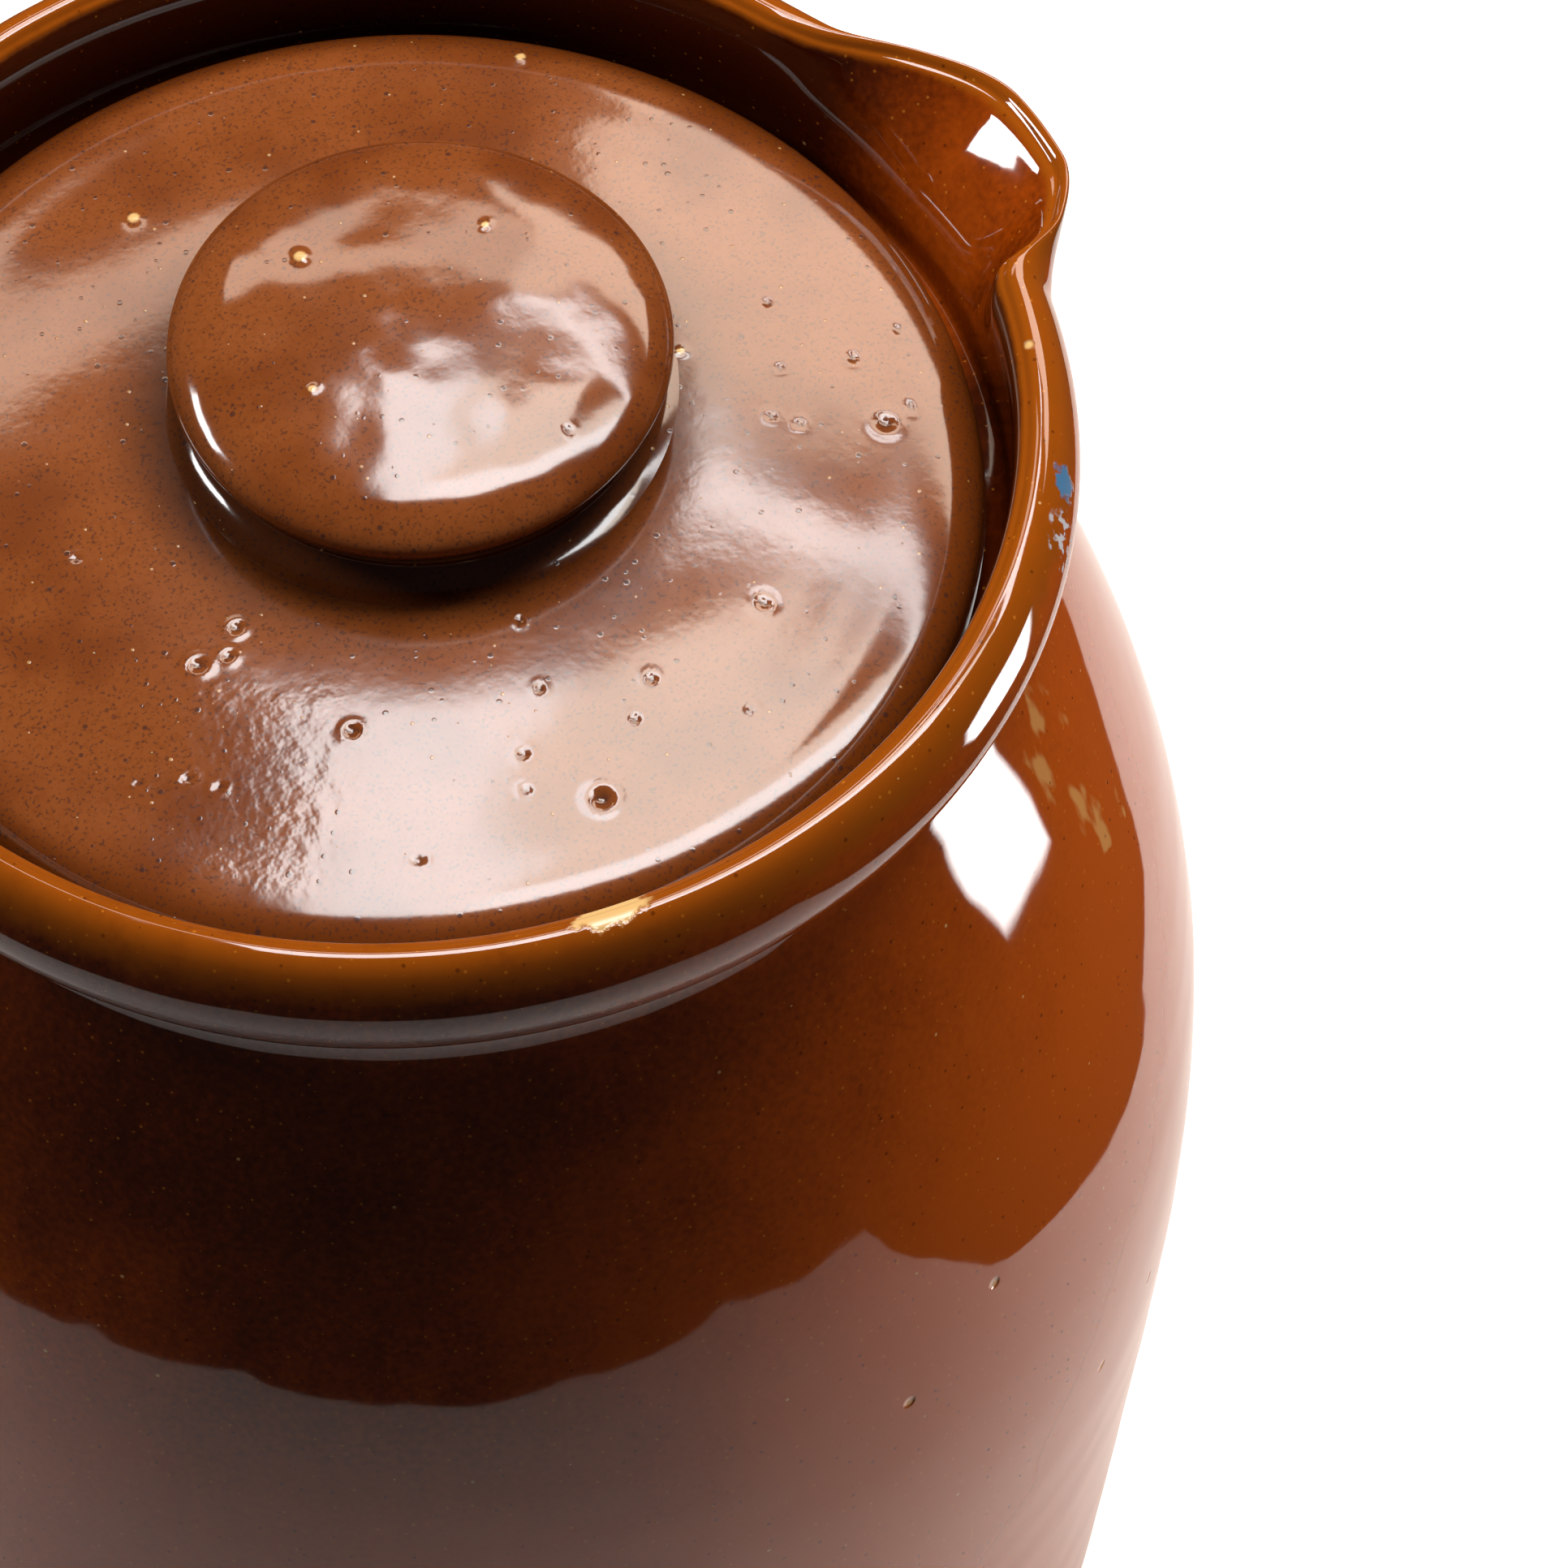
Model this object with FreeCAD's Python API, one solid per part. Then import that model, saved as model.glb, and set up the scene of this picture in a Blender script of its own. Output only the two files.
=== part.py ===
"""A one-gallon glazed stoneware crock with a rolled rim, a pressed pouring lip and an inset lid with a low round knob.

Row frame, millimetres: +Z up, the origin at the centre of the foot ring's plane, +X towards the pouring lip.
Heights are measured up from the foot; DEPTH values are measured down from the rim's crest.
"""

import FreeCAD, Part
import math
import os

# Driving dimensions
RIM_HEIGHT = 237.0  # foot plane to the rim's crest
BELLY_RADIUS = 85.0
WALL = 6.5  # body wall
FLOOR = 8.0  # foot plane to the inside floor
SEAT_DEPTH = 17.5  # crest to the gallery that carries the lid
SEAT_RADIUS = 59.9  # the gallery's outer wall
THROAT_RADIUS = 51.5  # clear opening inside the gallery
LID_RADIUS = 57.5
LID_EDGE = 8.1  # lid thickness at its edge
LID_CROWN = 1.4  # how far the lid's middle stands above its edge
LID_HOLLOW = 2.0  # shallow recess under the lid
KNOB_RADIUS = 24.9
KNOB_CENTRE = (5.5, 5.7)  # it was set on by hand, a little off the lid's centre
KNOB_HEIGHT = 12.0
KNOB_OVAL = 0.01  # the cap is that share wider along KNOB_TURN, and that much narrower across it
KNOB_TURN = math.radians(60)
FOOT_RADIUS = 73.0
FOOT_WIDTH = 9.0
FOOT_RECESS = 2.2

SEAT = RIM_HEIGHT - SEAT_DEPTH
LID_PAD = SEAT + LID_EDGE + LID_CROWN  # the flat middle of the lid, which carries the knob

RIM_POLES = 120  # poles round the rim, close enough together for the lip's corners
KNOB_POLES = 32

# Where the pouring lip starts, is full, stays full and ends, in degrees from +X, for its two effects:
# the wall pressed outwards, and the thick rolled rim thinned to a pouring edge.
LIP_PUSH = (-14.2, -1.8, 5.0, 21.5)
LIP_THIN = (-12.0, -7.6, 14.0, 26.0)

# One side of the crock from the gallery's corner over the rim and down to the foot, as
# (radius, depth, push, thin, drop): push and thin are how far the lip moves that point outwards, drop downwards.
RIM = [
    (SEAT_RADIUS, SEAT_DEPTH, 0.0, 0.0, 0.0),
    (SEAT_RADIUS, 12.5, 1.3, 0.1, 0.0),
    (SEAT_RADIUS, 6.5, 4.7, 1.2, 0.0),
    (60.0, 2.4, 6.4, 3.0, 0.9),
    (60.5, 1.0, 6.8, 3.4, 1.3),
    (61.3, 0.3, 7.0, 3.5, 1.4),
    (62.3, 0.0, 7.2, 3.0, 1.3),
    (63.7, 0.5, 7.2, 2.0, 1.0),
    (65.3, 2.8, 7.0, 0.5, 0.6),
    (66.4, 6.8, 5.2, -0.3, 0.4),
    (65.6, 10.4, 3.1, -0.4, 0.0),
    (63.6, 13.6, 1.8, 0.0, 0.0),
    (62.1, 16.4, 1.0, 0.0, 0.0),
    (61.2, 18.8, 0.6, 0.0, 0.0),
    (61.0, 20.9, 0.3, 0.0, 0.0),
    (62.3, 24.0, 0.0, 0.0, 0.0),
]
# The shoulder, the wall and the foot's outer edge, as (radius, depth).
BODY = [
    (67.5, 36.0),
    (73.6, 52.0),
    (79.6, 72.0),
    (83.8, 95.0),
    (BELLY_RADIUS, 120.0),
    (83.8, 155.0),
    (81.6, 197.0),
    (79.6, 223.0),
    (78.2, 231.0),
    (76.0, 235.6),
    (FOOT_RADIUS, RIM_HEIGHT),
]

# The inside from the flat floor up to the gallery's inner edge, as (radius, height).
FLOOR_RADIUS = 60.0
INSIDE = [
    (FLOOR_RADIUS, FLOOR),
    (66.5, FLOOR + 1.6),
    (70.6, FLOOR + 6.5),
    (72.6, FLOOR + 17.0),
    (81.5 - WALL, 40.0),
    (83.9 - WALL, 80.0),
    (BELLY_RADIUS - WALL, 120.0),
    (83.8 - WALL, RIM_HEIGHT - 95.0),
    (79.6 - WALL, RIM_HEIGHT - 72.0),
    (73.6 - WALL, RIM_HEIGHT - 52.0),
    (60.2, RIM_HEIGHT - 36.0),
    (55.6, RIM_HEIGHT - 29.5),
    (THROAT_RADIUS + 0.7, SEAT - 6.3),
    (THROAT_RADIUS, SEAT - 2.8),
    (THROAT_RADIUS + 0.4, SEAT - 0.9),
    (THROAT_RADIUS + 1.2, SEAT),
]
FOOT_INSIDE = [
    (FOOT_RADIUS - FOOT_WIDTH, 0.0),
    (FOOT_RADIUS - FOOT_WIDTH - 1.2, 0.5),
    (FOOT_RADIUS - FOOT_WIDTH - 2.4, FOOT_RECESS - 0.3),
    (FOOT_RADIUS - FOOT_WIDTH - 5.0, FOOT_RECESS),
]

# The knob's side from the lid up over its cap, as (radius, height above the lid).
KNOB = [
    (26.2, 0.0),
    (25.0, 0.15),
    (23.8, 0.6),
    (22.8, 1.4),
    (22.2, 2.5),
    (22.2, 3.6),
    (22.9, 4.6),
    (24.2, 5.6),
    (KNOB_RADIUS, 6.9),
    (24.4, 8.4),
    (23.0, 9.6),
    (19.8, 10.6),
    (14.0, 11.3),
    (8.0, 11.8),
    (4.0, KNOB_HEIGHT),
]
LID_PAD_RADIUS = 35.0


def smooth(share):
    """0 below 0, 1 above 1, and an S curve between."""
    share = min(1.0, max(0.0, share))
    return share * share * (3 - 2 * share)


def lip_share(angle, limits):
    """How much of a lip effect acts at an angle: 1 between its full limits, 0 past its ends."""
    start, full, full_end, end = limits
    degrees = math.degrees(math.atan2(math.sin(angle), math.cos(angle)))
    return smooth((degrees - start) / (full - start)) * smooth((end - degrees) / (end - full_end))


def smooth_curve(points, parameters):
    """The smooth curve through an outline's points, in the XZ plane."""
    curve = Part.BSplineCurve()
    curve.interpolate(Points=[FreeCAD.Vector(r, 0, z) for r, z in points], Parameters=parameters)
    return curve


def spaced(points):
    """Chord-length parameters for an outline's points."""
    values = [0.0]
    for (r0, z0), (r1, z1) in zip(points, points[1:]):
        values.append(values[-1] + math.hypot(r1 - r0, z1 - z0))
    return values


def turned(points):
    """The round face swept by an outline."""
    edge = smooth_curve(points, spaced(points)).toShape()
    return edge.revolve(FreeCAD.Vector(0, 0, 0), FreeCAD.Vector(0, 0, 1), 360)


def ring_surface(base, effects, poles_round, centre=(0.0, 0.0), widen=lambda angle: 1.0):
    """A ring-shaped face that isn't quite round: the outline carried round Z. effects holds (moved outline,
    share) pairs: share(angle) is how much of that outline's move acts at an angle. widen scales the radius."""
    parameters = spaced(base)
    curve = smooth_curve(base, parameters)
    moving = [(smooth_curve(moved, parameters).getPoles(), share) for moved, share in effects]
    step = 2 * math.pi / poles_round
    lift = 3 / (2 + math.cos(step))  # moves the poles out so that the cubic ring has the stated radius
    rows = []
    for i, pole in enumerate(curve.getPoles()):
        row = []
        for k in range(poles_round):
            angle = (k - 1) * step + math.pi  # so that the seam lies on the side away from the lip
            radius, height = pole.x, pole.z
            for poles, share in moving:
                radius += (poles[i].x - pole.x) * share(angle)
                height += (poles[i].z - pole.z) * share(angle)
            radius *= lift * widen(angle)
            x = centre[0] + radius * math.cos(angle)
            y = centre[1] + radius * math.sin(angle)
            row.append(FreeCAD.Vector(x, y, height))
        rows.append(row)
    surface = Part.BSplineSurface()
    surface.buildFromPolesMultsKnots(
        rows,
        curve.getMultiplicities(),
        [1] * (poles_round + 1),
        curve.getKnots(),
        [float(k) for k in range(poles_round + 1)],
        False,
        True,
        curve.Degree,
        3,
    )
    return surface.toShape()


def rim_wire(face, height):
    """The closed edge of a ring face that lies at a height, as a wire."""
    for edge in face.Edges:
        box = edge.BoundBox
        if edge.isClosed() and abs(box.ZMin - height) < 1e-3 and abs(box.ZMax - height) < 1e-3:
            return Part.Wire([edge])
    raise ValueError(f"no closed edge at height {height}")


def flat(*wires):
    """A flat face inside the first wire and outside the others."""
    return Part.makeFace(list(wires), "Part::FaceMakerBullseye")


def solid_from(faces):
    """One closed solid from the faces that bound it."""
    shell = Part.makeShell(faces)
    shell.sewShape()
    solid = Part.makeSolid(shell)
    if solid.Volume < 0:
        solid.reverse()
    return solid


def crock_body():
    """The thrown body: rolled rim, gallery, pressed lip, sloping shoulder and recessed foot, in one piece of clay."""
    rim = [(r, RIM_HEIGHT - depth) for r, depth, *_ in RIM]
    body = [(r, RIM_HEIGHT - depth) for r, depth in BODY]
    pushed = [(r + push, RIM_HEIGHT - depth) for r, depth, push, _, _ in RIM]
    thinned = [(r + thin, RIM_HEIGHT - depth - drop) for r, depth, _, thin, drop in RIM]
    outside = ring_surface(
        rim + body,
        [
            (pushed + body, lambda a: lip_share(a, LIP_PUSH)),
            (thinned + body, lambda a: lip_share(a, LIP_THIN)),
        ],
        RIM_POLES,
    )
    inside = turned(INSIDE)
    foot_inside = turned(FOOT_INSIDE)
    return solid_from(
        [
            outside,
            inside,
            foot_inside,
            flat(rim_wire(outside, SEAT), rim_wire(inside, SEAT)),
            flat(rim_wire(inside, FLOOR)),
            flat(rim_wire(outside, 0.0), rim_wire(foot_inside, 0.0)),
            flat(rim_wire(foot_inside, FOOT_RECESS)),
        ]
    )


def lid_disc():
    """The inset lid: a slightly crowned disc with a rounded edge and a shallow hollow underneath."""
    top = SEAT + LID_EDGE
    point = lambda r, z: FreeCAD.Vector(r, 0, z)
    crown = Part.Arc(
        point(LID_PAD_RADIUS, LID_PAD),
        point(LID_RADIUS - 14.0, LID_PAD - 0.6),
        point(LID_RADIUS - 5.0, top),
    )
    corner = Part.Arc(point(LID_RADIUS - 5.0, top), point(LID_RADIUS - 1.3, top - 1.4), point(LID_RADIUS, top - 4.0))
    outline = [
        Part.LineSegment(point(0, LID_PAD), point(LID_PAD_RADIUS, LID_PAD)),
        crown,
        corner,
        Part.LineSegment(point(LID_RADIUS, top - 4.0), point(LID_RADIUS, SEAT + 1.5)),
        Part.Arc(point(LID_RADIUS, SEAT + 1.5), point(LID_RADIUS - 0.44, SEAT + 0.44), point(LID_RADIUS - 1.5, SEAT)),
        Part.LineSegment(point(LID_RADIUS - 1.5, SEAT), point(THROAT_RADIUS - 2.5, SEAT)),
        Part.Arc(
            point(THROAT_RADIUS - 2.5, SEAT),
            point(THROAT_RADIUS - 4.3, SEAT + LID_HOLLOW - 0.6),
            point(THROAT_RADIUS - 7.5, SEAT + LID_HOLLOW),
        ),
        Part.LineSegment(point(THROAT_RADIUS - 7.5, SEAT + LID_HOLLOW), point(0, SEAT + LID_HOLLOW)),
        Part.LineSegment(point(0, SEAT + LID_HOLLOW), point(0, LID_PAD)),
    ]
    section = Part.Face(Part.Wire([piece.toShape() for piece in outline]))
    return section.revolve(FreeCAD.Vector(0, 0, 0), FreeCAD.Vector(0, 0, 1), 360)


def lid_knob():
    """The low knob, thrown apart from the lid and stuck on with slip: a slightly undercut disc with a domed top."""
    side = ring_surface(
        [(r, LID_PAD + z) for r, z in KNOB],
        [],
        KNOB_POLES,
        centre=KNOB_CENTRE,
        widen=lambda a: 1 + KNOB_OVAL * math.cos(2 * (a - KNOB_TURN)),
    )
    base = flat(rim_wire(side, LID_PAD))
    top = flat(rim_wire(side, LID_PAD + KNOB_HEIGHT))
    return solid_from([side, base, top])


os.makedirs("parts", exist_ok=True)
for make in (crock_body, lid_disc, lid_knob):
    shape = make()
    if not shape.isValid() or shape.Volume <= 0:
        raise ValueError(f"{make.__name__} is not a valid solid")
    shape.exportStep(f"parts/{make.__name__}.step")
    box = shape.BoundBox
    print(
        make.__name__,
        f"{shape.Volume / 1000:.1f} cm3, {box.XLength:.1f} x {box.YLength:.1f} x {box.ZLength:.1f} mm",
        f"z {box.ZMin:.2f} to {box.ZMax:.2f}",
    )
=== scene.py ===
"""The looks of a glazed stoneware crock with an inset lid: meshes, glazes, floor, lights and camera.

Sizes and places on the crock are in millimetres and become metres as they are used. The lights are in metres.
Heights called depth are measured down from the rim's crest. Directions round the crock are counter-clockwise
from above, from the pouring lip.
"""

import bpy
import numpy as np
from mathutils import Matrix, Vector, noise


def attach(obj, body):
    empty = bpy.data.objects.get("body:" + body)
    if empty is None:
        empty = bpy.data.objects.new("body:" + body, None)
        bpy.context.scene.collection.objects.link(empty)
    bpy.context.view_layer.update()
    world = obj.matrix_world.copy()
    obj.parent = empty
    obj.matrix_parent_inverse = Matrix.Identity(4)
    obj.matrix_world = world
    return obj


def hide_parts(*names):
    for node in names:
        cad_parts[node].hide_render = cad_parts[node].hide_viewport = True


MM = 0.001

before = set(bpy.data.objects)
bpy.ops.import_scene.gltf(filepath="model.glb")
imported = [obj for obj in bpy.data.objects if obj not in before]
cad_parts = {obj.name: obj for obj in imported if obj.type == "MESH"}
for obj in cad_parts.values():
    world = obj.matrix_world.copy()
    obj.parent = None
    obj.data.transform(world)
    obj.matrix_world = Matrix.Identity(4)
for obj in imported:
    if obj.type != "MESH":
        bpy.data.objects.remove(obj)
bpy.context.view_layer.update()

# Heights and radii that the meshes share with the solids.
RIM_HEIGHT = 237.0
SEAT = 219.5
SEAT_RADIUS = 59.9
THROAT_RADIUS = 51.5
NECK_RADIUS = 62.3
NECK_DEPTH = 24.0
BELLY_RADIUS = 85.0
WALL = 6.5
FLOOR = 8.0
FOOT_RADIUS = 73.0
FOOT_INNER = 64.0
FOOT_RECESS = 2.2
LID_RADIUS = 57.5
LID_TOP = SEAT + 9.5
LID_FOOT = 49.0
LID_HOLLOW = 2.0
KNOB_CENTRE = (5.5, 5.7)

# Where the pouring lip starts, is full, stays full and ends, for the wall's push outwards and the rim's
# thinning.
LIP_PUSH = (-14.2, -1.8, 5.0, 21.5)
LIP_THIN = (-12.0, -7.6, 14.0, 26.0)


# Curves and meshes


def smooth(share):
    """0 below 0, 1 above 1, and an S curve between."""
    share = np.clip(share, 0.0, 1.0)
    return share * share * (3 - 2 * share)


def between(degrees, limits):
    """1 between the two middle limits, 0 outside the outer two, smooth between."""
    start, full, full_end, end = limits
    return smooth((degrees - start) / (full - start)) * smooth((end - degrees) / (end - full_end))


def spline(knots, values, at):
    """The natural cubic spline through the values at the knots, at each position in at."""
    steps = np.diff(knots)
    count = len(knots)
    matrix = np.eye(count)
    right = np.zeros(values.shape)
    for i in range(1, count - 1):
        matrix[i, i - 1 : i + 2] = steps[i - 1], 2 * (steps[i - 1] + steps[i]), steps[i]
        right[i] = 6 * ((values[i + 1] - values[i]) / steps[i] - (values[i] - values[i - 1]) / steps[i - 1])
    bends = np.linalg.solve(matrix, right)
    k = np.clip(np.searchsorted(knots, at) - 1, 0, count - 2)
    step = steps[k][:, None]
    after = (at - knots[k])[:, None]
    before = step - after
    cubic = (bends[k] * before**3 + bends[k + 1] * after**3) / (6 * step)
    start = (values[k] / step - bends[k] * step / 6) * before
    end = (values[k + 1] / step - bends[k + 1] * step / 6) * after
    return cubic + start + end


def outline(points, spacing):
    """Rows sampled along the smooth curve through points (radius, height, ...) at about the spacing."""
    points = np.array(points, float)
    knots = np.concatenate([[0.0], np.cumsum(np.hypot(*np.diff(points[:, :2], axis=0).T))])
    rows = max(2, round(knots[-1] / spacing) + 1)
    return spline(knots, points, np.linspace(0, knots[-1], rows))


def join(*parts):
    """One run of rows from several that start where the last one ends."""
    return np.concatenate([parts[0]] + [part[1:] for part in parts[1:]])


def ring_mesh(name, points, **marks):
    """A closed mesh from points[row, angle], with a pole at the middle of the first and the last row.

    Rows run from the middle of the underside up the outside. Each mark is a value per point, kept for the
    glaze under its name.
    """
    rows, angles = points.shape[:2]
    start = points[0].mean(axis=0)
    end = points[-1].mean(axis=0)
    verts = np.concatenate([points.reshape(-1, 3), [start, end]]) * MM
    grid = np.arange(rows * angles).reshape(rows, angles)
    after = np.roll(grid, -1, axis=1)
    quads = np.stack([grid[:-1], after[:-1], after[1:], grid[1:]], axis=-1).reshape(-1, 4)
    first = [(rows * angles, after[0][k], grid[0][k]) for k in range(angles)]
    last = [(rows * angles + 1, grid[-1][k], after[-1][k]) for k in range(angles)]
    mesh = bpy.data.meshes.new(name)
    mesh.from_pydata(verts.tolist(), [], quads.tolist() + first + last)
    mesh.validate()
    mesh.shade_smooth()
    for mark, values in marks.items():
        values = np.broadcast_to(values, (rows, angles))
        every = np.concatenate([values.ravel(), [values[0].mean(), values[-1].mean()]])
        mesh.attributes.new(mark, "FLOAT", "POINT").data.foreach_set("value", every.astype(np.float32))
    piece = bpy.data.objects.new(name, mesh)
    bpy.context.collection.objects.link(piece)
    return piece


def placed(radius, height, angle, centre=(0.0, 0.0)):
    """Points at the radii, heights and angles (radians) round a centre."""
    east = centre[0] + radius * np.cos(angle)
    north = centre[1] + radius * np.sin(angle)
    return np.stack([east, north, height + 0 * radius], axis=-1)


def rough(points, size, octaves=3):
    """Soft noise from about -1 to 1 at each point, with features of about the size."""
    flat = points.reshape(-1, 3) / size
    values = [noise.fractal(Vector(p), 0.8, 2.0, octaves) for p in flat]
    return np.array(values).reshape(points.shape[:-1])


def hill(distance, width):
    """1 at no distance, falling smoothly to nothing over about the width."""
    return np.exp(-((distance / width) ** 2))


# The crock

# The crock's section starts and ends at this radius, and triangles close the middle.
POLE = 4.0

# The rim from the gallery's corner over the crest to the neck: radius, depth, then how far the pouring lip's
# push and its thinning move that point outwards, and how far the thinning drops it.
RIM = [
    (SEAT_RADIUS, 17.5, 0.0, 0.0, 0.0),
    (SEAT_RADIUS, 12.5, 1.3, 0.1, 0.0),
    (SEAT_RADIUS, 6.5, 4.7, 1.2, 0.0),
    (60.0, 2.4, 6.4, 3.0, 0.9),
    (60.5, 1.0, 6.8, 3.4, 1.3),
    (61.3, 0.3, 7.0, 3.5, 1.4),
    (62.3, 0.0, 7.2, 3.0, 1.3),
    (63.7, 0.5, 7.2, 2.0, 1.0),
    (65.3, 2.6, 7.0, 0.5, 0.6),
    (66.4, 6.8, 5.2, -0.3, 0.4),
    (66.1, 9.4, 3.5, -0.4, 0.0),
    (64.9, 12.2, 2.2, 0.0, 0.0),
    (62.8, 14.7, 1.5, 0.0, 0.0),
    (61.4, 16.6, 1.0, 0.0, 0.0),
    (60.9, 18.4, 0.7, 0.0, 0.0),
    (61.0, 20.4, 0.4, 0.0, 0.0),
    (NECK_RADIUS, NECK_DEPTH, 0.0, 0.0, 0.0),
]
# The outside from the neck to the foot: radius and depth.
BODY = [
    (NECK_RADIUS, NECK_DEPTH),
    (67.5, 36.0),
    (73.6, 52.0),
    (79.6, 72.0),
    (83.8, 95.0),
    (BELLY_RADIUS, 120.0),
    (83.8, 155.0),
    (81.6, 197.0),
    (79.6, 223.0),
    (78.2, 231.0),
    (76.0, 235.6),
    (FOOT_RADIUS, RIM_HEIGHT),
]
# The inside from the floor to the gallery's ledge: radius and height.
INSIDE = [
    (60.0, FLOOR),
    (66.5, FLOOR + 1.6),
    (70.6, FLOOR + 6.5),
    (72.6, FLOOR + 17.0),
    (81.5 - WALL, 40.0),
    (83.9 - WALL, 80.0),
    (BELLY_RADIUS - WALL, 120.0),
    (83.8 - WALL, RIM_HEIGHT - 95.0),
    (79.6 - WALL, RIM_HEIGHT - 72.0),
    (73.6 - WALL, RIM_HEIGHT - 52.0),
    (60.2, RIM_HEIGHT - 36.0),
    (55.6, RIM_HEIGHT - 29.5),
    (THROAT_RADIUS + 0.7, SEAT - 6.3),
    (THROAT_RADIUS, SEAT - 2.8),
    (THROAT_RADIUS + 0.4, SEAT - 0.9),
    (THROAT_RADIUS + 1.2, SEAT),
]
# A fine line that runs round the rim's inner edge.
GROOVE_RADIUS = 61.0
GROOVE_WIDTH = 0.3
GROOVE_DEPTH = 0.22


def crock_rows():
    """The crock's section from the middle of its underside, over the rim, to the middle of its floor."""
    inside_floor = outline([(POLE, FLOOR), INSIDE[0]], 8.0)
    inside = outline(INSIDE, 4.5)
    ledge = outline([INSIDE[-1], (SEAT_RADIUS - 0.6, SEAT)], 2.0)
    rim = outline([(r, RIM_HEIGHT - depth, push, thin, drop) for r, depth, push, thin, drop in RIM], 0.25)
    # The crest keeps every row for its fine line. The wall inside it and the bead outside it are plainer.
    crest_start = 56
    crest_end = 84
    rim = np.concatenate([rim[2:crest_start:4], rim[crest_start:crest_end], rim[crest_end::2]])
    # The body's curve starts one point up the rim, so that both meet at one slope. That start is cut off.
    outside = outline([(r, RIM_HEIGHT - depth) for r, depth in [RIM[-2][:2], *BODY]], 2.8)
    outside = outside[outside[:, 1] < RIM_HEIGHT - NECK_DEPTH - 0.2]
    foot = outline([(FOOT_RADIUS, 0.0), (FOOT_INNER, 0.0)], 1.5)
    recess = outline([(FOOT_INNER, 0.0), (62.8, 0.5), (61.6, FOOT_RECESS - 0.3), (59.0, FOOT_RECESS)], 0.8)
    underside = outline([(59.0, FOOT_RECESS), (POLE, FOOT_RECESS)], 8.0)
    within = join(inside_floor, inside, ledge)
    below = join(outside, foot, recess, underside)
    within = np.hstack([within, np.zeros((len(within), 3))])
    below = np.hstack([below, np.zeros((len(below), 3))])
    return np.concatenate([within, rim, below])[::-1]


def crock_angles():
    """Angles in degrees round the crock, about twice as dense at the pouring lip."""
    lip = np.arange(-26, 30, 0.6)
    rest = np.arange(30, 334, 1.1)
    return np.concatenate([lip, rest])


def make_crock():
    """The thrown body, with its pouring lip, throwing rings and slight unevenness."""
    rows = crock_rows()
    degrees = crock_angles()
    signed = (degrees + 180) % 360 - 180
    angle = np.radians(degrees)[None, :]
    push = between(signed, LIP_PUSH)[None, :]
    thin = between(signed, LIP_THIN)[None, :]
    radius, height, pushed, thinned, drop = (rows[:, i : i + 1] for i in range(5))
    top = RIM_HEIGHT - height
    crest = smooth((radius - 60.0) / 0.6) * smooth((5.5 - top) / 4.0) + 0 * angle
    foot = (radius > 60) * smooth((1.6 - height) / 1.0)
    seat = hill(height - SEAT, 0.8) * smooth((57.0 - radius) / 1.5)
    # Painted shade: darker on the rim's inner wall and down the throat below the gallery, less in the pouring
    # lip.
    deep = smooth((61.0 - radius) / 0.8) * smooth((height - 150) / 40) * (1 - 0.5 * push)
    groove = GROOVE_DEPTH * (top < 3) * hill(radius - GROOVE_RADIUS, GROOVE_WIDTH)
    # The lip was pulled out furthest just beside its middle.
    push = push * (1 + 0.05 * hill(signed[None, :] - 3, 6))
    wide = radius + pushed * push + thinned * thin
    high = height - drop * thin - groove
    points = placed(wide, high, angle)
    # Fingers left faint rings up the wall, and the wheel and the kiln left it a little out of round.
    outer = smooth((radius - 61.5) / 3) * smooth((top - 20) / 12) * smooth(height / 25)
    rings = np.interp(height, np.arange(0, 240, 4.0), np.sin(np.arange(60) ** 1.7))
    wobble = 0.04 * rings + 0.08 * rough(points, 34.0, 2)
    points[..., :2] *= 1 + outer[..., None] * wobble[..., None] / wide[..., None]
    points[..., 2] += smooth((16 - top) / 6) * 0.07 * rough(points, 12.0, 2) * smooth((radius - 60) / 1.5)
    return ring_mesh("crock", points, thin=crest, deep=deep, bare=np.maximum(foot, seat) + 0 * angle)


# The lid and its knob

# Pits in the lid's glaze: place, radius and depth.
LID_PITS = [
    (-0.7, -44.8, 1.4, 0.6),
    (44.0, -18.6, 1.3, 0.5),
    (-18.2, -27.4, 0.9, 0.4),
    (-5.1, -37.2, 0.7, 0.3),
    (-6.6, -40.8, 0.6, 0.3),
    (-18.9, -42.8, 0.7, 0.3),
    (6.0, -38.5, 0.7, 0.3),
    (9.4, -35.3, 0.8, 0.3),
    (-0.5, -31.4, 0.6, 0.25),
    (-27.8, -13.8, 1.1, 0.35),
    (-22.8, -11.6, 0.9, 0.3),
    (50.7, -8.7, 0.7, 0.3),
    (40.6, -0.3, 0.7, 0.25),
    (37.8, -8.2, 0.6, 0.25),
    (36.2, -15.2, 0.6, 0.25),
    (34.2, -13.2, 0.6, 0.25),
    (45.0, -10.1, 0.8, 0.3),
    (47.1, -17.9, 0.7, 0.3),
    (16.2, -42.4, 0.6, 0.25),
    (23.0, -32.4, 1.0, 0.3),
    (1.4, -23.5, 0.6, 0.25),
    (-24.9, -14.2, 0.8, 0.3),
    (-34.0, -24.7, 0.7, 0.3),
    (-31.8, -26.9, 0.6, 0.25),
    (-38.2, -22.8, 0.6, 0.25),
    (-32.9, 3.0, 0.6, 0.25),
]
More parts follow.
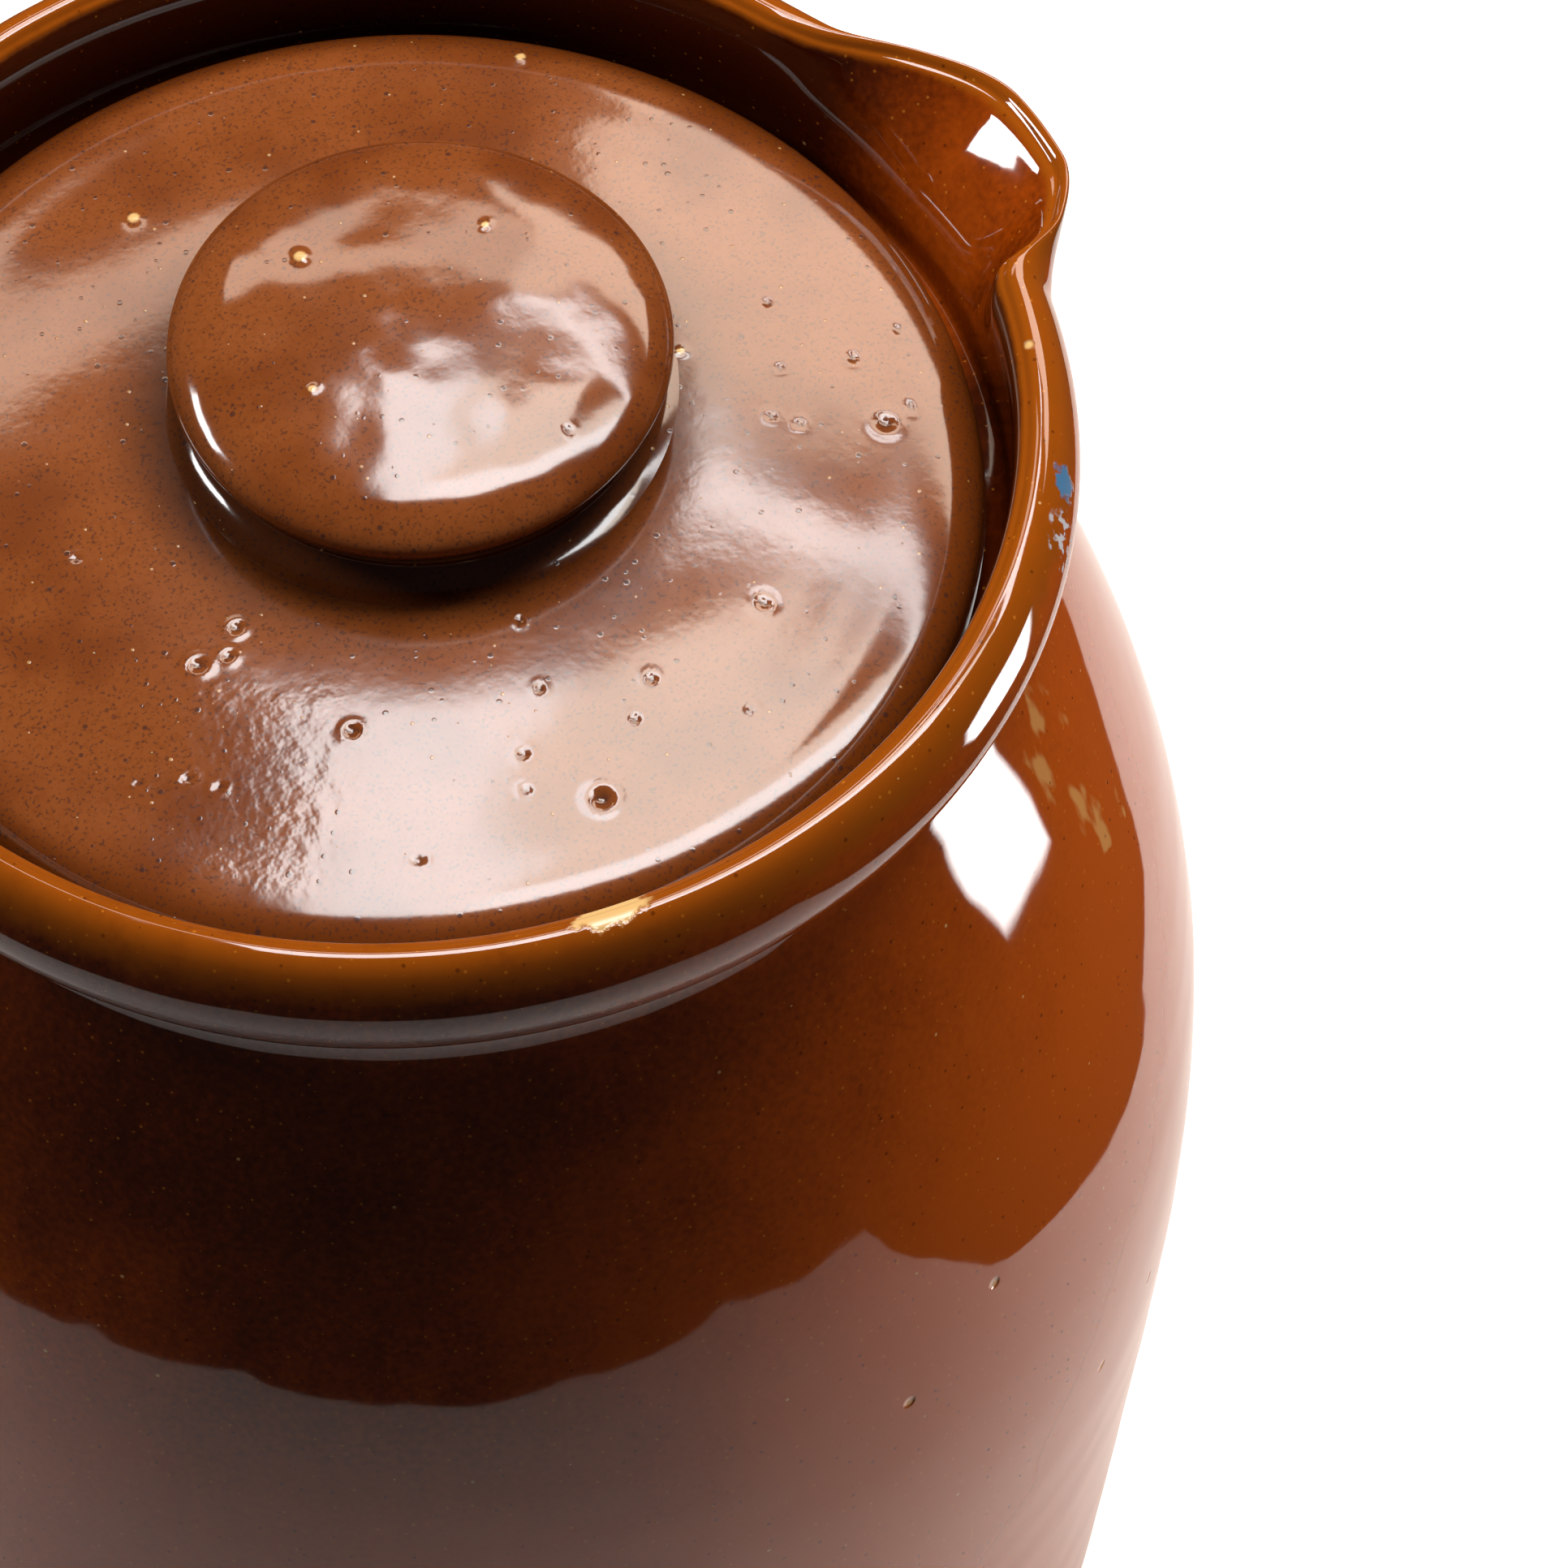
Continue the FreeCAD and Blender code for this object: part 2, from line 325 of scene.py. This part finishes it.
# Pale lumps of clay that show through the glaze, on the lid and on the knob: place, radius and height.
LID_LUMPS = [
    (33.8, 40.7, 0.7, 0.25),
    (-10.5, 39.1, 0.8, 0.2),
    (-43.0, 12.0, 0.6, 0.2),
    (30.0, -2.0, 0.5, 0.15),
]
KNOB_LUMPS = [
    (-1.2, 17.9, 0.8, 0.2),
    (16.4, 12.9, 0.5, 0.15),
    (-7.1, 2.9, 0.5, 0.15),
]
# The knob has one pit, given as the lid's are.
KNOB_PITS = [(12.6, -12.4, 0.6, 0.2)]


def dented(points, pits, lumps):
    """The points with their pits and lumps, then how much each point is in a pit and on a lump."""
    pit = np.zeros(points.shape[:-1])
    lump = np.zeros(points.shape[:-1])
    for east, north, radius, depth in pits:
        away = np.hypot(points[..., 0] - east, points[..., 1] - north)
        raised_rim = 0.16 * hill(away - radius, 0.45 * radius)
        points[..., 2] += depth * (raised_rim - 0.8 * hill(away, 0.55 * radius))
        pit = np.maximum(pit, hill(away, 0.42 * radius))
    for east, north, radius, height in lumps:
        away = np.hypot(points[..., 0] - east, points[..., 1] - north)
        points[..., 2] += height * hill(away, radius)
        lump = np.maximum(lump, hill(away, 0.9 * radius))
    return points, pit, lump


def lid_rows():
    """The lid's section from the middle of its underside, round its edge, to the middle of its top."""
    top = [
        (3.0, LID_TOP),
        (18.0, LID_TOP),
        (35.0, LID_TOP - 0.04),
        (43.5, LID_TOP - 0.6),
        (48.0, LID_TOP - 0.95),
        (53.0, LID_TOP - 1.4),
        (55.6, LID_TOP - 2.4),
        (57.0, LID_TOP - 4.0),
        (LID_RADIUS, LID_TOP - 6.0),
    ]
    edge = [(LID_RADIUS, LID_TOP - 6.0), (LID_RADIUS, SEAT + 1.5), (57.06, SEAT + 0.44), (56.0, SEAT)]
    under = [(56.0, SEAT), (LID_FOOT, SEAT)]
    ceiling = SEAT + LID_HOLLOW
    hollow = [(LID_FOOT, SEAT), (47.2, SEAT + 1.4), (44.0, ceiling), (3.0, ceiling)]
    rows = join(outline(top, 0.42), outline(edge, 0.6), outline(under, 2.5), outline(hollow, 4.0))
    return rows[::-1]


def make_lid():
    """The inset lid, slightly crowned and uneven, with a rounded edge and pits in its glaze."""
    rows = lid_rows()
    radius = rows[:, 0:1]
    height = rows[:, 1:2]
    angle = np.radians(np.linspace(0, 360, 580, endpoint=False))[None, :]
    points = placed(radius + 0 * angle, height, angle)
    upper = height > LID_TOP - 5
    points[..., 2] += upper * 0.045 * rough(points, 24.0, 2)
    points, pit, lump = dented(points, LID_PITS, LID_LUMPS)
    points[..., 2] = np.where(upper, points[..., 2], height)
    # Painted shade: darker over the lid's rounded edge, where it sinks below the rim, and down its side and
    # underside.
    edge = upper * smooth((radius - 52.5) / 2.5) + (height <= LID_TOP - 5) * 1.0
    bare = hill(height - SEAT, 0.7)
    # Painted shade: darker in the corner round the knob, under its cap.
    away = np.hypot(points[..., 0] - KNOB_CENTRE[0], points[..., 1] - KNOB_CENTRE[1])
    pool = upper * 0.5 * smooth((33.0 - away) / 8)
    return ring_mesh("lid", points, edge=edge, bare=bare, pool=pool, pit=pit * upper, lump=lump * upper)


# The knob's side from the lid up over its cap, as radius and height above the lid.
KNOB = [
    (26.2, 0.0),
    (25.0, 0.15),
    (23.8, 0.6),
    (22.8, 1.4),
    (22.2, 2.5),
    (22.2, 3.6),
    (22.9, 4.6),
    (24.2, 5.6),
    (24.9, 6.9),
    (24.4, 8.4),
    (23.0, 9.6),
    (19.8, 10.6),
    (14.0, 11.2),
    (8.0, 11.55),
    (3.0, 11.7),
]


def make_knob():
    """The low knob: an uneven oval with a domed top that leans a little to the front."""
    rows = outline(KNOB, 0.4)
    radius = rows[:, 0:1]
    height = rows[:, 1:2]
    angle = np.radians(np.linspace(0, 360, 420, endpoint=False))[None, :]
    turn = np.radians(60)
    cap = smooth((height - 3) / 3)
    oval = 1 + 0.01 * np.cos(2 * (angle - turn)) + cap * 0.006 * np.cos(3 * angle + 0.6)
    points = placed(radius * oval, LID_TOP + height, angle, KNOB_CENTRE)
    top = smooth((height - 7) / 3)
    lean = 0.022 * radius * np.sin(angle + np.radians(29))
    points[..., 2] += top * (0.09 * rough(points, 9.0, 2) + lean - 0.1)
    points, pit, lump = dented(points, KNOB_PITS, KNOB_LUMPS)
    # Painted shade on the knob's neck under its cap, darkest at the neck's waist.
    pool = smooth((6.5 - height) / 3) * (0.5 + 0.5 * smooth((height - 0.3) / 2.5)) + 0 * angle
    nothing = np.zeros(points.shape[:-1])
    return ring_mesh("knob", points, edge=nothing, bare=nothing, pool=pool, pit=pit * top, lump=lump * top)


# Glazes


class Surface:
    """Builds the nodes of one material. Sizes are in millimetres on the piece itself."""

    def __init__(self, name):
        self.material = bpy.data.materials.new(name)
        self.material.use_nodes = True
        self.tree = self.material.node_tree
        self.tree.nodes.clear()
        self.place = self.node("TexCoord").outputs["Object"]

    def node(self, kind, inputs=None, **settings):
        """A node with its settings, and its inputs given as values or as the outputs of other nodes."""
        node = self.tree.nodes.new("ShaderNode" + kind)
        for name, value in settings.items():
            setattr(node, name, value)
        for name, value in (inputs or {}).items():
            if isinstance(value, bpy.types.NodeSocket):
                self.tree.links.new(value, node.inputs[name])
            else:
                node.inputs[name].default_value = value
        return node

    def math(self, operation, *values):
        """The result of one calculation."""
        return self.node("Math", dict(enumerate(values)), operation=operation).outputs[0]

    def steps(self, value, low, high, at_low=0.0, at_high=1.0):
        """A smooth step from one value to another as the input goes from low to high."""
        inputs = {"Value": value, "From Min": low, "From Max": high, "To Min": at_low, "To Max": at_high}
        return self.node("MapRange", inputs, interpolation_type="SMOOTHSTEP").outputs[0]

    def mix(self, share, first, second):
        """A colour between two. The Mix node's colour sockets are its inputs 6 and 7 and its output 2."""
        inputs = {"Factor": share, 6: first, 7: second}
        return self.node("Mix", inputs, data_type="RGBA").outputs[2]

    def mark(self, name):
        """A value that the mesh carries at each point."""
        return self.node("Attribute", attribute_name=name).outputs["Fac"]

    def shifted(self, seed, stretch=(1.0, 1.0, 1.0)):
        """Places on the piece, moved far off by the seed so that two patterns never match."""
        inputs = {"Vector": self.place, "Location": (seed, 0.37 * seed, 0.0), "Scale": stretch}
        return self.node("Mapping", inputs).outputs[0]

    def noise(self, size, detail=2.0, seed=0.0, stretch=(1.0, 1.0, 1.0)):
        """Soft noise, from 0 to 1, with features of about the size, longer where stretch is under 1."""
        inputs = {"Vector": self.shifted(seed, stretch), "Scale": 1 / (size * MM), "Detail": detail}
        return self.node("TexNoise", inputs).outputs["Fac"]

    def specks(self, spacing, radius, share, seed=0.0):
        """Small round specks: 1 in a speck and 0 outside, in the given share of the cells."""
        inputs = {"Vector": self.shifted(seed), "Scale": 1 / (spacing * MM)}
        cells = self.node("TexVoronoi", inputs)
        chance = self.node("SeparateColor", {"Color": cells.outputs["Color"]}).outputs[0]
        size = self.steps(chance, 0.0, share, radius / spacing, 0.4 * radius / spacing)
        near = self.math("DIVIDE", cells.outputs["Distance"], size)
        spot = self.steps(near, 0.6, 1.1, 1.0, 0.0)
        return self.math("MULTIPLY", spot, self.math("LESS_THAN", chance, share))

    def spot(self, point, radius):
        """1 at a point, falling to 0 at the radius."""
        offset = self.node("Mapping", {"Vector": self.place, "Location": [-p * MM for p in point]}).outputs[0]
        away = self.node("VectorMath", {0: offset}, operation="LENGTH").outputs["Value"]
        return self.steps(away, 0.3 * radius * MM, radius * MM, 1.0, 0.0)

    def patch(self, point, radius, ragged=0.5, shape=(1.0, 1.0, 1.0)):
        """1 within about the radius of a point and 0 outside, with a ragged edge."""
        centre = [-p * s * MM for p, s in zip(point, shape)]
        inputs = {"Vector": self.place, "Scale": shape, "Location": centre}
        offset = self.node("Mapping", inputs).outputs[0]
        away = self.node("VectorMath", {0: offset}, operation="LENGTH").outputs["Value"]
        edge = self.math("MULTIPLY_ADD", self.noise(radius * 0.6, 3.0), ragged * 2 * radius * MM, away)
        reach = radius * (1 + ragged) * MM
        return self.steps(edge, reach * 0.85, reach * 1.1, 1.0, 0.0)

    def total(self, *parts):
        """The sum of values, each given with its weight."""
        result = 0.0
        for value, weight in parts:
            result = self.math("MULTIPLY_ADD", value, weight, result)
        return result

    def finish(self, colour, roughness, height, **shader):
        """Joins the colour, the roughness and a height in millimetres to the surface: the material."""
        bump = self.node("Bump", {"Height": height, "Distance": MM, "Strength": 1.0}).outputs[0]
        inputs = {"Base Color": colour, "Roughness": roughness, "Normal": bump}
        for name, value in shader.items():
            inputs[name.replace("_", " ")] = value
        shader = self.node("BsdfPrincipled", inputs)
        self.node("OutputMaterial", {"Surface": shader.outputs[0]})
        return self.material


MILK_BROWN = (0.195, 0.054, 0.0125, 1.0)
DARK_BROWN = (0.135, 0.032, 0.006, 1.0)
EDGE_SHADE_BROWN = (0.115, 0.026, 0.0035, 1.0)
KNOB_SHADE_BROWN = (0.045, 0.010, 0.002, 1.0)
SPECK_DARK = (0.018, 0.011, 0.013, 1.0)
SPECK_PALE = (0.60, 0.38, 0.15, 1.0)
TREACLE = (0.050, 0.0065, 0.0006, 1.0)
CHESTNUT = (0.22, 0.033, 0.0012, 1.0)
WALL_BROWN = (0.37, 0.064, 0.0025, 1.0)
AMBER = (0.24, 0.055, 0.0022, 1.0)
SPECK_AMBER = (0.60, 0.21, 0.02, 1.0)
PALE_DRIP = (0.50, 0.24, 0.07, 1.0)
BUFF_CLAY = (0.50, 0.36, 0.22, 1.0)
OLD_PAINT = (0.035, 0.13, 0.26, 1.0)
SCUFF_GREY = (0.40, 0.38, 0.40, 1.0)


def with_bare_clay(surface, colour, roughness, bare):
    """The colour and the roughness with unglazed, sandy clay where bare is 1, and the clay's share."""
    ragged = surface.math("ADD", bare, surface.steps(surface.noise(3.0, 3.0), 0.3, 0.7, -0.25, 0.25))
    share = surface.steps(ragged, 0.42, 0.58)
    grains = surface.steps(surface.noise(0.6, 3.0), 0.3, 0.7)
    clay = surface.mix(grains, BUFF_CLAY, [c * 0.6 for c in BUFF_CLAY[:3]] + [1.0])
    return surface.mix(share, colour, clay), surface.math("MULTIPLY_ADD", share, 0.7, roughness), share


def lid_glaze(name, seed):
    """Milky brown glaze on the lid and the knob: finely speckled, a little dimpled, with painted shade over
    the edge and round the knob.
    """
    glaze = Surface(name)
    cloud = glaze.noise(14.0, 3.0, seed)
    grain = glaze.noise(0.7, 3.0, seed + 1)
    colour = glaze.mix(glaze.steps(cloud, 0.38, 0.66), MILK_BROWN, DARK_BROWN)
    colour = glaze.mix(glaze.steps(grain, 0.45, 0.75, 0.0, 0.45), colour, DARK_BROWN)
    # Painted shade over the lid's edge.
    colour = glaze.mix(glaze.mark("edge"), colour, EDGE_SHADE_BROWN)
    # Painted shade round and under the knob.
    colour = glaze.mix(glaze.mark("pool"), colour, KNOB_SHADE_BROWN)
    fine = glaze.specks(0.8, 0.2, 0.6, seed)
    coarse = glaze.specks(1.7, 0.34, 0.55, seed + 2)
    pale = glaze.specks(1.8, 0.2, 0.45, seed + 3)
    pepper = glaze.steps(glaze.noise(0.4, 2.0, seed + 4), 0.56, 0.68, 0.0, 0.5)
    dark = glaze.math("MAXIMUM", glaze.math("MULTIPLY", fine, 0.5), glaze.math("MULTIPLY", coarse, 0.65))
    dark = glaze.math("MAXIMUM", dark, pepper)
    colour = glaze.mix(dark, colour, SPECK_DARK)
    colour = glaze.mix(glaze.math("MULTIPLY", pale, 0.5), colour, SPECK_PALE)
    colour = glaze.mix(glaze.math("MULTIPLY", glaze.mark("pit"), 0.85), colour, SPECK_DARK)
    colour = glaze.mix(glaze.steps(glaze.mark("lump"), 0.3, 0.7), colour, SPECK_PALE)
    roughness = glaze.math("MULTIPLY_ADD", cloud, 0.08, 0.06)
    colour, roughness, _ = with_bare_clay(glaze, colour, roughness, glaze.mark("bare"))
    # The skin of the glaze is more dimpled at the lid's front left.
    dimpled = glaze.patch((-30.0, -28.0, LID_TOP), 11.0, 0.6)
    peel = glaze.noise(1.6, 2.0, seed + 5)
    peel = glaze.math("MULTIPLY", peel, glaze.math("MULTIPLY_ADD", dimpled, 0.022, 0.007))
    ripple = glaze.noise(7.0, 1.0, seed + 6)
    height = glaze.total((peel, 1.0), (ripple, 0.02), (grain, 0.0015), (coarse, 0.006), (pale, 0.015))
    return glaze.finish(colour, roughness, height, IOR=1.52)


# Pits in the body's glaze.
BODY_PITS = [(26.7, -76.3, 159.9), (14.3, -81.0, 152.7), (55.4, -64.5, 116.0), (44.5, -72.4, 117.9)]


def body_glaze():
    """Deep brown gloss, amber where it thins, with pale and dark specks, streaks and a few old knocks."""
    glaze = Surface("brown_gloss")
    cloud = glaze.noise(30.0, 2.0, 11.0)
    streak = glaze.noise(3.2, 2.0, 12.0, (1.0, 1.0, 0.16))
    grain = glaze.noise(0.8, 3.0, 13.0)
    place = glaze.node("SeparateXYZ", {"Vector": glaze.place})
    # Painted shade and light: the colour is darker high on the shoulder just under the rim's bead, where its
    # shadow falls, fading lower down, and lighter on the lit side towards the pouring lip.
    low = glaze.steps(place.outputs["Z"], 0.212, 0.125)
    lit_side = glaze.steps(place.outputs["X"], -0.05, 0.06)
    # Painted shade on the walls inside the rim.
    deep = glaze.mark("deep")
    mottling = glaze.total((cloud, 0.3), (streak, 0.1), (grain, 0.2))
    # depth mixes the glaze's own random mottling with the painted shade under and inside the rim and the
    # painted light on the lit side; the higher it is, the lighter the brown.
    depth = glaze.total((mottling, 1.0), (low, 0.33), (lit_side, 0.3), (deep, -0.36))
    colour = glaze.mix(glaze.steps(depth, 0.20, 0.50), TREACLE, CHESTNUT)
    colour = glaze.mix(glaze.steps(depth, 0.34, 0.68), colour, WALL_BROWN)
    thin = glaze.total((glaze.mark("thin"), 1.0), (glaze.noise(3.0, 3.0, 14.0), 0.9), (grain, 0.3))
    colour = glaze.mix(glaze.steps(thin, 0.75, 1.70), colour, AMBER)
    drips = glaze.math("MULTIPLY", glaze.patch((51.0, -46.0, 196.0), 9.0, 0.5, (1.0, 1.0, 0.4)), streak)
    colour = glaze.mix(glaze.steps(drips, 0.55, 0.68, 0.0, 0.8), colour, PALE_DRIP)
    pale = glaze.specks(1.1, 0.2, 0.6, 3.0)
    dark = glaze.specks(1.4, 0.26, 0.5, 5.0)
    colour = glaze.mix(glaze.math("MULTIPLY", pale, 0.4), colour, SPECK_AMBER)
    colour = glaze.mix(glaze.math("MULTIPLY", glaze.specks(4.0, 0.26, 0.6, 6.0), 0.7), colour, SPECK_PALE)
    colour = glaze.mix(glaze.math("MULTIPLY", dark, 0.6), colour, TREACLE)
    pits = 0.0
    for point in BODY_PITS:
        pits = glaze.math("ADD", glaze.spot(point, 0.9), pits)
    colour = glaze.mix(glaze.math("MULTIPLY", pits, 0.8), colour, PALE_DRIP)
    paint = glaze.patch((52.8, -37.4, RIM_HEIGHT - 2.1), 1.6, 0.9)
    scuffs = glaze.patch((50.0, -42.4, RIM_HEIGHT - 3.6), 2.4, 1.0, (1.0, 0.6, 1.0))
    scuffs = glaze.math("MULTIPLY", scuffs, glaze.steps(glaze.noise(1.1, 3.0, 15.0), 0.50, 0.56))
    colour = glaze.mix(scuffs, colour, SCUFF_GREY)
    colour = glaze.mix(paint, colour, OLD_PAINT)
    chip = glaze.patch((-7.7, -60.7, RIM_HEIGHT), 1.9, 0.5, (0.5, 1.0, 1.0))
    worn = glaze.math("MAXIMUM", chip, glaze.spot((57.4, -22.6, RIM_HEIGHT), 0.7))
    colour = glaze.mix(worn, colour, SPECK_PALE)
    roughness = glaze.total((paint, 0.4), (scuffs, 0.4), (worn, 0.15), (cloud, 0.03))
    roughness = glaze.math("ADD", roughness, 0.025)
    colour, roughness, bare = with_bare_clay(glaze, colour, roughness, glaze.mark("bare"))
    ripple = glaze.noise(8.0, 1.0, 16.0)
    damage = glaze.total((pits, -0.3), (worn, -0.1), (paint, 0.05), (bare, -0.1))
    height = glaze.total((ripple, 0.03), (grain, 0.001), (damage, 1.0))
    return glaze.finish(colour, roughness, height, IOR=1.52)


crock = make_crock()
lid = make_lid()
knob = make_knob()
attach(crock, "crock")
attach(lid, "lid")
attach(knob, "lid")
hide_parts("crock_body")
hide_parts("lid_disc")
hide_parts("lid_knob")
crock.data.materials.append(body_glaze())
lid.data.materials.append(lid_glaze("lid_brown", 1.0))
knob.data.materials.append(lid_glaze("knob_brown", 31.0))


# Floor, lights and camera

# The camera's azimuth is 0 when it looks along +Y.
CAMERA_TURN = np.radians(-29)
CAMERA_TILT = np.radians(56.72)
CAMERA_ROLL = np.radians(0.765)
CAMERA_DISTANCE = 502.6
CAMERA_ACROSS = 38.0
CAMERA_UP = -36.25
CAMERA_LENS = 120
CAMERA_SENSOR = 36

# The height of the lights overhead, in metres.
CEILING = LID_TOP * MM + 0.7

RIGHT = Vector((np.cos(CAMERA_TURN), np.sin(CAMERA_TURN), 0.0))
AWAY = Vector((-np.sin(CAMERA_TURN), np.cos(CAMERA_TURN), 0.0))
UP = Vector((0.0, 0.0, 1.0))


def seen(right, away, up):
    """A direction or a place in metres, given to the right of the camera, away from it and up."""
    return RIGHT * float(right) + AWAY * float(away) + UP * float(up)


# The corners of the white table top, in millimetres to the right of the camera and away from it.
TABLE = [
    (-400, -60),
    (-275, -226),
    (-240, -305),
    (-142, -382),
    (-12, -400),
    (119, -388),
    (250, -340),
    (320, -221),
    (256, -118),
    (228, -45),
    (206, 26),
    (226, 100),
    (260, 200),
    (250, 420),
    (-330, 420),
]


def stage_mesh(name, points, faces):
    """A part of the set, which isn't part of the crock."""
    mesh = bpy.data.meshes.new(name)
    mesh.from_pydata(points, [], faces)
    mesh.shade_smooth()
    piece = bpy.data.objects.new(name, mesh)
    bpy.context.collection.objects.link(piece)
    return piece


def sweep(name, radius, wall, drop):
    """A round floor that turns up smoothly into a wall."""
    bends = np.radians(np.arange(6, 91, 6))
    rows = [(r, -drop) for r in np.geomspace(0.05, radius, 24)]
    rows += [(radius + wall / 2 * np.sin(b), wall / 2 * (1 - np.cos(b)) - drop) for b in bends]
    rows += [(radius + wall / 2, wall)]
    angle = np.radians(np.arange(0, 360, 3))
    count = len(angle)
    points = [(r * np.cos(a), r * np.sin(a), z) for r, z in rows for a in angle]
    faces = [tuple(range(count))]
    for start in range(0, (len(rows) - 1) * count, count):
        for k in range(count):
            after = (k + 1) % count
            faces.append((start + k, start + count + k, start + count + after, start + after))
    return stage_mesh(name, points, faces)


def pale_floor(name, shade, glow):
    """Matt white. Where a glow is given, it glows with painted light, strongest round the crock."""
    floor = Surface(name)
    away = floor.node("VectorMath", {0: floor.place}, operation="LENGTH").outputs["Value"]
    inputs = {"Base Color": (shade, 0.97 * shade, 0.95 * shade, 1.0)}
    inputs["Roughness"] = 0.9
    inputs["Specular IOR Level"] = 0.0
    if glow:
        # Painted light: the floor glows as if lit, brightest round the crock and fading further out. It is no
        # lamp.
        inputs["Emission Color"] = (1.0, 0.985, 0.97, 1.0)
        inputs["Emission Strength"] = floor.steps(away, 0.25, 0.75, glow, 0.3 * glow)
    shader = floor.node("BsdfPrincipled", inputs)
    floor.node("OutputMaterial", {"Surface": shader.outputs[0]})
    return floor.material


def make_floor():
    """A white table top that the glaze mirrors, and a wide pale floor that only the camera sees."""
    corners = [seen(x * MM, y * MM, 0.0) for x, y in TABLE]
    table = stage_mesh("table", corners, [tuple(range(len(corners)))])
    table.data.materials.append(pale_floor("table_white", 0.70, 0.0))
    table.visible_camera = False
    table.visible_shadow = False
    backdrop = sweep("backdrop", 3.0, 4.0, 0.2 * MM)
    backdrop.data.materials.append(pale_floor("backdrop_white", 0.92, 0.55))
    backdrop.visible_diffuse = False
    backdrop.visible_glossy = False
    backdrop.visible_shadow = False


def soft_light(name, centre, across, facing, size, radiance, colour=(1.0, 1.0, 1.0)):
    """A rectangle of soft light. Its width lies along across, and it shines along facing."""
    data = bpy.data.lights.new(name, "AREA")
    data.shape = "RECTANGLE"
    data.size, data.size_y = size
    data.energy = radiance * np.pi * size[0] * size[1]
    data.color = colour
    light = bpy.data.objects.new(name, data)
    back = -seen(*facing).normalized()
    along = seen(*across)
    along = (along - along.dot(back) * back).normalized()
    turn = Matrix((along, back.cross(along), back)).transposed()
    light.matrix_world = Matrix.Translation(seen(*centre)) @ turn.to_4x4()
    light.visible_camera = False
    bpy.context.collection.objects.link(light)


def ceiling_light(name, left, right, near, far, radiance, colour=(1.0, 1.0, 1.0), slant=0.0):
    """A light that shines down from overhead. Its limits are shares of its height over the lid."""
    height = CEILING - LID_TOP * MM
    centre = ((left + right) / 2 * height, (near + far) / 2 * height, CEILING)
    across = (np.cos(slant), np.sin(slant), 0.0)
    size = ((right - left) * height, (far - near) * height)
    soft_light(name, centre, across, (0, 0, -1), size, radiance, colour)


# The corners of the window at the right, in millimetres to the right of the camera, away from it and up.
SIDE_WINDOW = [
    (377, -19, 24),
    (371, 75, 4),
    (400, 75, 150),
    (398, -10, 160),
    (392, -50, 120),
    (386, -45, 71),
]


def glow_sheet(name, corners, radiance):
    """A glowing shape that fades out over its border. It lights the crock, and the camera doesn't see it."""
    outer = [seen(*[c * MM for c in corner]) for corner in corners]
    middle = sum(outer, Vector()) / len(outer)
    inner = [middle.lerp(corner, 0.84) for corner in outer]
    count = len(outer)
    faces = [tuple(range(count, 2 * count))]
    faces += [(k, (k + 1) % count, count + (k + 1) % count, count + k) for k in range(count)]
    sheet = stage_mesh(name, outer + inner, faces)
    mark = sheet.data.attributes.new("glow", "FLOAT", "POINT")
    mark.data.foreach_set("value", [0.0] * count + [1.0] * count)
    light = Surface(name)
    strength = light.math("MULTIPLY", light.mark("glow"), radiance)
    shader = light.node("Emission", {"Strength": strength})
    light.node("OutputMaterial", {"Surface": shader.outputs[0]})
    sheet.data.materials.append(light.material)
    sheet.visible_camera = False
    sheet.visible_shadow = False


WARM = (1.0, 0.89, 0.78)
WARMER = (1.0, 0.80, 0.64)


def make_lights():
    """Windows and soft boxes above and behind the crock, one low at the right and one at the left."""
    ceiling_light("window_bright", -0.14, 0.0, 0.15, 0.63, 15)
    ceiling_light("window_near", 0.0, 0.75, 0.15, 0.32, 17)
    ceiling_light("window_soft", 0.0, 0.22, 0.32, 0.61, 12, WARM)
    ceiling_light("window_side", 0.22, 0.75, 0.32, 0.42, 12, WARM)
    ceiling_light("strip", 0.0, 0.85, 0.54, 0.62, 15, slant=np.radians(-22))
    ceiling_light("wall_soft", 0.03, 1.0, 0.78, 1.25, 9, WARMER)
    ceiling_light("wall_left", -0.5, 0.03, 0.82, 1.0, 6.5, WARMER)
    glow_sheet("side_right", SIDE_WINDOW, 17)
    azimuth = np.radians(-77)
    elevation = np.radians(34)
    level = np.cos(elevation)
    direction = (np.sin(azimuth) * level, np.cos(azimuth) * level, np.sin(elevation))
    place = [0.8 * d for d in direction]
    place[2] += LID_TOP * MM
    soft_light("side_left", place, (0, 1, 0), [-d for d in direction], (0.25, 0.12), 30)


def make_camera():
    """A long lens that looks down at the lid from close by."""
    sin_e, cos_e = np.sin(CAMERA_TILT), np.cos(CAMERA_TILT)
    forward = seen(0, cos_e, -sin_e)
    up = seen(0, sin_e, cos_e)
    place = Vector((0, 0, RIM_HEIGHT)) + CAMERA_ACROSS * RIGHT + CAMERA_UP * up - CAMERA_DISTANCE * forward
    rolled_right = np.cos(CAMERA_ROLL) * RIGHT + np.sin(CAMERA_ROLL) * up
    rolled_up = np.cos(CAMERA_ROLL) * up - np.sin(CAMERA_ROLL) * RIGHT
    data = bpy.data.cameras.new("camera")
    data.lens = CAMERA_LENS
    data.sensor_width = CAMERA_SENSOR
    data.clip_start = 0.01
    camera = bpy.data.objects.new("camera", data)
    turn = Matrix((rolled_right, rolled_up, -forward)).transposed()
    camera.matrix_world = Matrix.Translation(place * MM) @ turn.to_4x4()
    bpy.context.collection.objects.link(camera)
    bpy.context.scene.camera = camera


def make_world():
    """A dim room, and colours shown as they are."""
    world = bpy.data.worlds.new("room")
    world.use_nodes = True
    world.node_tree.nodes["Background"].inputs["Color"].default_value = (0.04, 0.034, 0.030, 1.0)
    bpy.context.scene.world = world
    bpy.context.scene.view_settings.view_transform = "Standard"


make_floor()
make_lights()
make_camera()
make_world()
